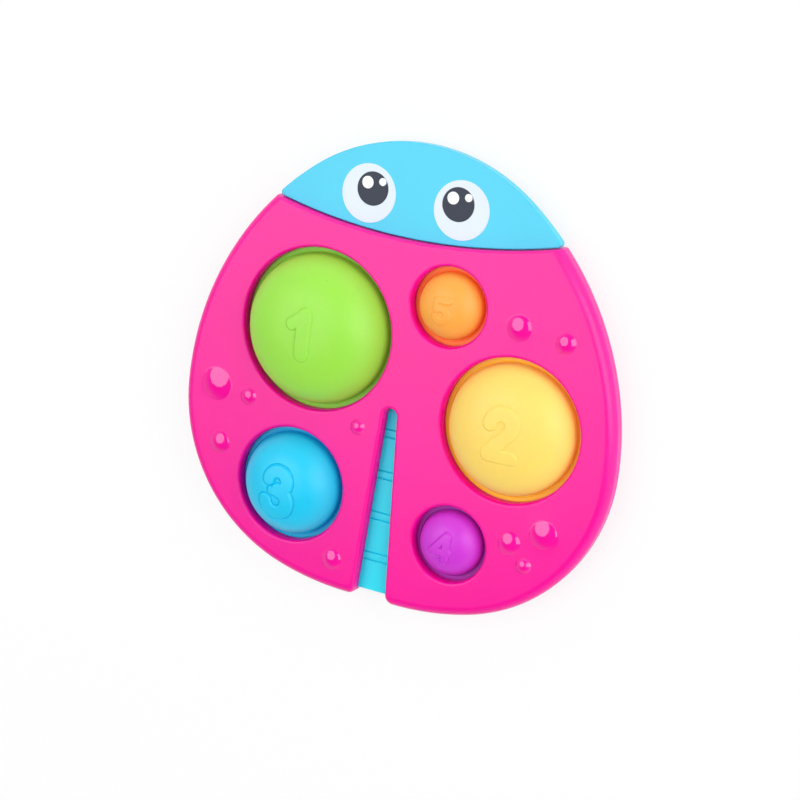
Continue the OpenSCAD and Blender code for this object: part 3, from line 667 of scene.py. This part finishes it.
def make_bubble(i):
    """One silicone bubble: clamped flange with bead, dome with raised number, and the hollow under it."""
    b = BUBBLES[i]
    base_r = b.window_r - FLANGE_SHOW
    low = FLANGE_TOP - FLANGE_T
    throat, hollow_h = base_r - DOME_T, b.dome_h - DOME_T
    clamp, bead = b.window_r + COLLAR_W + BEAD_GAP, b.window_r + COLLAR_W + BEAD_GAP + BEAD_W
    s = Shape()

    def number_net(r, h):
        """The top of a dome, a fine net that carries the number; returns its rim."""
        x, y = disc_net(b.net)
        x, y = x * b.field_r, y * b.field_r
        dome = FLANGE_TOP + h * np.sqrt(1 - (np.hypot(x, y) / r) ** (2 / DOME_SHOULDER))
        return s.sheet(b.x + x, b.y + y, dome + number_height(i, x, y))

    # Outside: dome, crease at its foot, flange, bead
    angles = np.linspace(dome_angle(base_r, b.field_r), math.pi / 2, DOME_ROWS)[1:]
    steps = [dome_point(base_r, b.dome_h, a) for a in angles]
    for k in range(1, CREASE_ROWS + 1):
        a = math.pi * k / CREASE_ROWS
        steps.append((base_r + CREASE_R * (1 - math.cos(a)), FLANGE_TOP - CREASE_DEEP * math.sin(a)))
    steps += [
        (b.window_r - FLANGE_GAP, FLANGE_TOP), (clamp, FLANGE_TOP), (clamp, FLANGE_TOP + BEAD_RISE),
        (bead, FLANGE_TOP + BEAD_RISE), (bead, low - BEAD_RISE), (clamp, low - BEAD_RISE), (clamp, low),
    ]
    # Inside: throat and hollow
    steps += [(throat + THROAT_R, low), (throat + THROAT_MID, low + THROAT_MID), (throat, low + THROAT_R)]
    angles = np.linspace(math.pi / 2, dome_angle(throat, b.field_r), HOLLOW_ROWS)[:-1]
    steps += [dome_point(throat, hollow_h, a) for a in angles]
    ring = s.lathe(number_net(base_r, b.dome_h), (b.x, b.y), steps, NET_FROM)
    s.bridge(ring, number_net(throat, hollow_h))
    skin = s.make("bubble_%d_skin" % i, sharp=50)
    # A value per point, 1 on the flange and 0 on the dome, that paints shade into the silicone's colour on
    # the flange and the crease at the dome's foot
    painted_shade = skin.data.attributes.new("foot", "FLOAT", "POINT")
    for v, m in zip(s.verts, painted_shade.data):
        m.value = smooth(min(max((FLANGE_TOP + FLANGE_SHADE_H - v[2]) / FLANGE_SHADE_H, 0.0), 1.0))
    return skin


# Prints and screws
def make_discs(name, spots, layer):
    """Thin printed discs with a soft edge, in one of the layers on the head's face."""
    low = BODY_T - HEAD_STEP + layer * PRINT_T
    s = Shape()
    for x, y, r in spots:
        steps = [(r - inset, low + PRINT_T * share) for inset, share in PRINT_EDGE]
        foot = s.ring(round_ring(x, y, *steps[0], PRINT_N))
        top = s.lathe(foot, (x, y), steps[1:])
        s.fill(foot)
        s.fill(top)
    return s.make(name, sharp=60)


def make_screws(name):
    """Pan-head screws, points up, each with a cross recess sunk into its rounded head."""
    head, shank, end_z = SCREW_HEAD_D / 2, SCREW_D / 2, SCREW_SINK + SCREW_L
    a, b = disc_net(SCREW_NET)
    radius = np.hypot(a, b)
    along = np.maximum(np.abs(a) - CROSS_REACH, np.abs(b) - CROSS_HALF_W)
    across = np.maximum(np.abs(b) - CROSS_REACH, np.abs(a) - CROSS_HALF_W)
    sink = np.clip(-np.minimum(along, across) / CROSS_SLOPE, 0, 1)
    crown = PAN_RISE * radius ** 2 + PAN_EDGE * np.clip((radius - PAN_EDGE_FROM) / PAN_EDGE_W, 0, 1) ** 2
    height = SCREW_SINK - SCREW_HEAD_H + crown + CROSS_DEEP * sink * (1 - CROSS_TAPER * radius)
    steps = [(head, SCREW_SINK), (shank, SCREW_SINK), (shank, end_z - shank), (shank / SCREW_POINT, end_z)]
    s = Shape()
    for x, y in screw_places():
        rim = s.sheet(x + a * head, y + b * head, height)
        tip = s.lathe(rim, (x, y), steps, NET_FROM)
        s.fan(tip, (x, y, end_z))
    return s.make(name, sharp=40)


# Material nodes
def noise(tree, place, scale, detail):
    """Noise from 0 to 1 at places on the piece."""
    node = tree.nodes.new("ShaderNodeTexNoise")
    node.inputs["Scale"].default_value = scale
    node.inputs["Detail"].default_value = detail
    tree.links.new(place, node.inputs["Vector"])
    return node.outputs["Fac"]


def map_range(tree, value, old, new, eased=False):
    """A value mapped from its old range to a new one, with soft ends where it is eased."""
    node = tree.nodes.new("ShaderNodeMapRange")
    if eased:
        node.interpolation_type = "SMOOTHSTEP"
    for socket, end in zip(("From Min", "From Max", "To Min", "To Max"), (*old, *new)):
        node.inputs[socket].default_value = end
    tree.links.new(value, node.inputs["Value"])
    return node.outputs["Result"]


def toward_colour(tree, factor, shade, colour):
    """A shade that goes over to one colour by a factor."""
    node = tree.nodes.new("ShaderNodeMix")
    node.data_type = "RGBA"
    node.inputs["B"].default_value = (*colour, 1)
    tree.links.new(factor, node.inputs["Factor"])
    tree.links.new(shade, node.inputs["A"])
    return node.outputs["Result"]


def math_node(tree, operation, *values):
    """Arithmetic on values, each of them a node's output or a number."""
    node = tree.nodes.new("ShaderNodeMath")
    node.operation = operation
    for socket, value in zip(node.inputs, values):
        if isinstance(value, float):
            socket.default_value = value
        else:
            tree.links.new(value, socket)
    return node.outputs[0]


# Slow drift of the colour, specks of dust, and fine grain: scales per metre, and their shares
DRIFT_SCALE, DRIFT_DETAIL, DRIFT_RAMP = 22.0, 3.0, (0.3, 0.7)
DUST_SCALE, DUST_EDGE, DUST_SHADE = 260.0, (0.025, 0.05), 0.35
GRAIN_DETAIL, BUMP_STRENGTH = 4.0, 0.35


def moulded(name, colour, rough, spread=0.04, drift=0.03, grain=1400.0, bump_mm=0.005, speck=0.0,
            soft=0.0, soft_mm=None, foot=None, specular=0.5, metallic=0.0):
    """Plastic, silicone, ink or metal, with slow colour drift, specks of dust and a fine grain."""
    mat = bpy.data.materials.new(name)
    mat.use_nodes = True
    tree = mat.node_tree
    bsdf = tree.nodes["Principled BSDF"]
    new, link = tree.nodes.new, tree.links.new
    place = new("ShaderNodeTexCoord").outputs["Object"]
    ramp = new("ShaderNodeValToRGB")
    low, high = ramp.color_ramp.elements
    low.position, high.position = DRIFT_RAMP
    low.color = (*[c * (1 - drift) for c in colour], 1)
    high.color = (*[min(c * (1 + drift), 1.0) for c in colour], 1)
    link(noise(tree, place, DRIFT_SCALE, DRIFT_DETAIL), ramp.inputs["Fac"])
    shade = ramp.outputs["Color"]
    # The colour given as foot is painted shade: it darkens the flange and the crease at the dome's foot
    if foot:
        near = new("ShaderNodeAttribute")
        near.attribute_name = "foot"
        shade = toward_colour(tree, near.outputs["Fac"], shade, foot)
    if speck > 0:
        cells = new("ShaderNodeTexVoronoi")
        cells.inputs["Scale"].default_value = DUST_SCALE
        link(place, cells.inputs["Vector"])
        dot = map_range(tree, cells.outputs["Distance"], DUST_EDGE, (speck, 0.0))
        shade = toward_colour(tree, dot, shade, [c * DUST_SHADE for c in colour])
    link(shade, bsdf.inputs["Base Color"])
    fine = noise(tree, place, grain, GRAIN_DETAIL)
    link(map_range(tree, fine, (0.0, 1.0), (rough - spread, rough + spread)), bsdf.inputs["Roughness"])
    bump = new("ShaderNodeBump")
    bump.inputs["Strength"].default_value = BUMP_STRENGTH
    bump.inputs["Distance"].default_value = bump_mm * MM
    link(fine, bump.inputs["Height"])
    link(bump.outputs["Normal"], bsdf.inputs["Normal"])
    bsdf.inputs["Specular IOR Level"].default_value = specular
    bsdf.inputs["Metallic"].default_value = metallic
    if soft > 0:
        bsdf.inputs["Subsurface Weight"].default_value = soft
        bsdf.inputs["Subsurface Radius"].default_value = soft_mm
        bsdf.inputs["Subsurface Scale"].default_value = MM
    return mat


# Materials
PINK_COLOUR = (0.97, 0.0015, 0.335)
# A lighter copy of the pink for the window and slot walls: painted light where they lie in shade
PINK_WALL_PAINTED_LIGHT_COLOUR = (1.0, 0.0015, 0.335)
PLASTIC_ROUGH, STRIP_ROUGH, GLOSS_ROUGH, STEEL_ROUGH = 0.3, 0.34, 0.055, 0.34
INK_ROUGH, INK_GRAIN = 0.35, 900.0
SILICONE_ROUGH = 0.42


def ink(name, colour, specular=0.5):
    """Printed ink of the eyes."""
    return moulded(name, colour, INK_ROUGH, grain=INK_GRAIN, specular=specular)


def silicone(name, colour, foot, speck, soft_mm, soft=0.5):
    """Matt silicone with light in its depth, and a darker, deeper colour painted on the flange as painted
    shade.
    """
    return moulded(name, colour, SILICONE_ROUGH, speck=speck, soft=soft, soft_mm=soft_mm, foot=foot)


PINK = moulded("pink_plastic", PINK_COLOUR, PLASTIC_ROUGH, speck=0.3, soft=0.35, soft_mm=(2.5, 0.3, 0.9),
               specular=0.42)
# Window and slot walls: the lighter pink is painted light for walls in shade
PINK_WALL_PAINTED_LIGHT = moulded("pink_window_wall_painted_light", PINK_WALL_PAINTED_LIGHT_COLOUR, PLASTIC_ROUGH, soft=1.0, soft_mm=(3.0, 0.3, 0.9),
                    specular=0.1)
PINK_GLOSS = moulded("pink_drop_gloss", PINK_COLOUR, GLOSS_ROUGH, spread=0.015, bump_mm=0.001,
                     specular=0.85)
BLUE = moulded("blue_plastic", (0.055, 0.61, 0.85), PLASTIC_ROUGH, speck=0.2)
# The strip's blue is lighter than the head's: painted light that makes up for the shade in the slot
STRIP_BLUE_PAINTED_LIGHT = moulded("blue_strip_plastic_painted_light", (0.02, 0.83, 1.0), STRIP_ROUGH, speck=0.2)
WHITE = ink("eye_white_print", (0.72, 0.81, 0.9))
DARK = ink("eye_dark_print", (0.012, 0.02, 0.045), specular=0.38)
GLINT = ink("eye_glint_print", (0.92, 0.94, 0.97))
STEEL = moulded("screw_steel", (0.5, 0.5, 0.52), STEEL_ROUGH, spread=0.1, drift=0.15, grain=2600.0,
                metallic=1.0)
# Each silicone's second colour is a darker one painted on its flange and crease as painted shade
SILICONE = {
    1: silicone("green_silicone", (0.345, 0.75, 0.068), (0.3, 0.7, 0.055), 0.5, (1.0, 2.0, 0.4)),
    2: silicone("yellow_silicone", (1.0, 0.69, 0.15), (1.0, 0.62, 0.04), 0.3, (2.5, 1.8, 0.4)),
    3: silicone("blue_silicone", (0.006, 0.59, 0.85), (0.001, 0.5, 0.8), 0.7, (0.4, 1.4, 2.0)),
    4: silicone("purple_silicone", (0.62, 0.032, 0.66), (0.4, 0.02, 0.46), 0.5, (1.4, 0.4, 1.4), soft=0.4),
    5: silicone("orange_silicone", (1.0, 0.41, 0.06), (1.0, 0.24, 0.035), 0.4, (2.5, 1.2, 0.4)),
}
SILICONE_SLOTS = {
    1: "silicone_green",
    2: "silicone_yellow",
    3: "silicone_blue",
    4: "silicone_purple",
    5: "silicone_orange",
}


# Pieces
def dress(obj, mat, slot, *nodes, body="frame"):
    """Gives a piece its material, hides the CAD nodes it replaces and hangs it on what it rides on; the
    slot is not used.
    """
    obj.data.materials.append(mat)
    if nodes:
        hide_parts(*nodes)
    if body:
        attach(obj, body)
    return obj


for name, front, node in (("shell_front", True, "front_shell"), ("shell_back", False, "back_shell")):
    shell = dress(make_shell(name, front), PINK, "pink_body", node)
    shell.data.materials.append(PINK_GLOSS)
    shell.data.materials.append(PINK_WALL_PAINTED_LIGHT)
dress(make_head("head_plate_front", True), BLUE, "blue_trim", "head_front")
dress(make_head("head_plate_back", False), BLUE, "blue_trim", "head_back")
dress(make_strip("tail_strip_plate"), STRIP_BLUE_PAINTED_LIGHT, "blue_trim", "tail_strip")

sides = (-1, 1)
whites = [(EYE_MID_X + k * EYE_X, EYE_Y, EYE_R) for k in sides]
pupils = [(EYE_MID_X + k * (EYE_X - PUPIL_IN), EYE_Y + PUPIL_UP, PUPIL_R) for k in sides]
glints = [(x + dx, y + dy, r) for x, y, _ in pupils for dx, dy, r in GLINTS]
dress(make_discs("eye_white_discs", whites, 0), WHITE, "eye_white", "eye_whites")
dress(make_discs("eye_pupil_discs", pupils, 1), DARK, "eye_dark", "eye_pupils")
dress(make_discs("eye_glint_discs", glints, 2), GLINT, "eye_white", "eye_glints")

for i, b in BUBBLES.items():
    nodes = ("bubble_%d_rim" % i, "bubble_%d_web" % i, "bubble_%d_crown" % i)
    skin = dress(make_bubble(i), SILICONE[i], SILICONE_SLOTS[i], *nodes, body=None)
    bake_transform(skin)

dress(make_screws("pan_screws"), STEEL, "screw_steel", "screws")

# Camera at the photograph's viewing angle: lens, axes and place
CAM_SENSOR, CAM_LENS = 36.0, 82.445
CAM_RIGHT = (0.89722, 0.11654, -0.42593)
CAM_UP = (-0.2125, 0.95947, -0.18511)
CAM_BACK = (0.3871, 0.2566, 0.88562)
CAM_AT = (237.06, 148.98, 546.14)

scene = bpy.context.scene
cam = bpy.data.cameras.new("photo_camera")
cam.sensor_width = CAM_SENSOR
cam.lens = CAM_LENS
camera = bpy.data.objects.new("photo_camera", cam)
scene.collection.objects.link(camera)
axes = [(CAM_RIGHT[k], CAM_UP[k], CAM_BACK[k], CAM_AT[k] * MM) for k in range(3)]
camera.matrix_world = Matrix([*axes, (0, 0, 0, 1)])
scene.camera = camera

# Pale floor, just under the body and cut out under each bubble so that a popped dome has room
FLOOR_HALF, FLOOR_Z = 3000.0, -0.05
PAPER_COLOUR, PAPER_GLOW = (0.95, 0.95, 0.95, 1), 0.8


def paper():
    """Plain paper that is lit evenly where the camera or a reflection sees it."""
    mat = bpy.data.materials.new("paper_floor")
    mat.use_nodes = True
    tree = mat.node_tree
    tree.nodes.clear()
    new, link = tree.nodes.new, tree.links.new
    diffuse = new("ShaderNodeBsdfDiffuse")
    diffuse.inputs["Color"].default_value = PAPER_COLOUR
    glow = new("ShaderNodeEmission")
    ray = new("ShaderNodeLightPath").outputs
    seen = math_node(tree, "MAXIMUM", ray["Is Camera Ray"], ray["Is Glossy Ray"])
    mix = new("ShaderNodeMixShader")
    link(math_node(tree, "MULTIPLY", seen, PAPER_GLOW), mix.inputs["Fac"])
    link(diffuse.outputs[0], mix.inputs[1])
    link(glow.outputs[0], mix.inputs[2])
    link(mix.outputs[0], new("ShaderNodeOutputMaterial").inputs["Surface"])
    return mat


board = Shape()
corners = ((-1, -1), (1, -1), (1, 1), (-1, 1))
edge = board.ring([(x * FLOOR_HALF, y * FLOOR_HALF, FLOOR_Z) for x, y in corners])
holes = [(b.x, b.y, b.window_r - FLANGE_SHOW / 2) for b in BUBBLES.values()]
board.fill(edge, [board.ring(round_ring(x, y, r, FLOOR_Z, WINDOW_N)) for x, y, r in holes])
floor = board.make("floor")
floor.data.materials.append(paper())

# Soft studio light: pale walls, brighter on one side, a dim ceiling and two large softboxes
WALL_TO_CEILING, WALL_GLOW, CEILING_GLOW = (0.3, 0.78), 0.95, 0.12
BRIGHT_SIDE, SIDE_RANGE, SIDE_GAIN = (0.75, 0.66, 0.0), (-0.8, 0.8), (0.62, 1.38)
WHITE_LIGHT = (1, 1, 1, 1)


def studio():
    """The room's light; the camera itself sees plain white."""
    world = bpy.data.worlds.new("studio")
    world.use_nodes = True
    tree = world.node_tree
    new, link = tree.nodes.new, tree.links.new
    way = new("ShaderNodeTexCoord").outputs["Generated"]
    parts = new("ShaderNodeSeparateXYZ")
    link(way, parts.inputs["Vector"])
    fade = map_range(tree, parts.outputs["Z"], WALL_TO_CEILING, (WALL_GLOW, CEILING_GLOW), eased=True)
    toward = new("ShaderNodeVectorMath")
    toward.operation = "DOT_PRODUCT"
    toward.inputs[1].default_value = BRIGHT_SIDE
    link(way, toward.inputs[0])
    gain = map_range(tree, toward.outputs["Value"], SIDE_RANGE, SIDE_GAIN)
    sky = tree.nodes["Background"]
    sky.inputs["Color"].default_value = WHITE_LIGHT
    link(math_node(tree, "MULTIPLY", fade, gain), sky.inputs["Strength"])
    plain = new("ShaderNodeBackground")
    plain.inputs["Color"].default_value = WHITE_LIGHT
    both = new("ShaderNodeMixShader")
    link(new("ShaderNodeLightPath").outputs["Is Camera Ray"], both.inputs["Fac"])
    link(sky.outputs[0], both.inputs[1])
    link(plain.outputs[0], both.inputs[2])
    link(both.outputs[0], tree.nodes["World Output"].inputs["Surface"])
    return world


def lamp(name, shape, place, size, watts):
    """An area lamp that faces the middle of the object, with its place and size in metres."""
    data = bpy.data.lights.new(name, "AREA")
    data.shape = shape
    data.size, data.size_y = size
    data.energy = watts
    obj = bpy.data.objects.new(name, data)
    scene.collection.objects.link(obj)
    obj.location = place
    obj.rotation_euler = (-Vector(place)).to_track_quat("-Z", "Y").to_euler()


scene.world = studio()
lamp("round_softbox", "DISK", place=(-0.43, 0.12, 1.01), size=(1.1, 1.1), watts=7.1)
lamp("right_softbox", "RECTANGLE", place=(0.78, 0.22, 0.78), size=(0.8, 0.9), watts=6.0)

scene.view_settings.view_transform = "Standard"
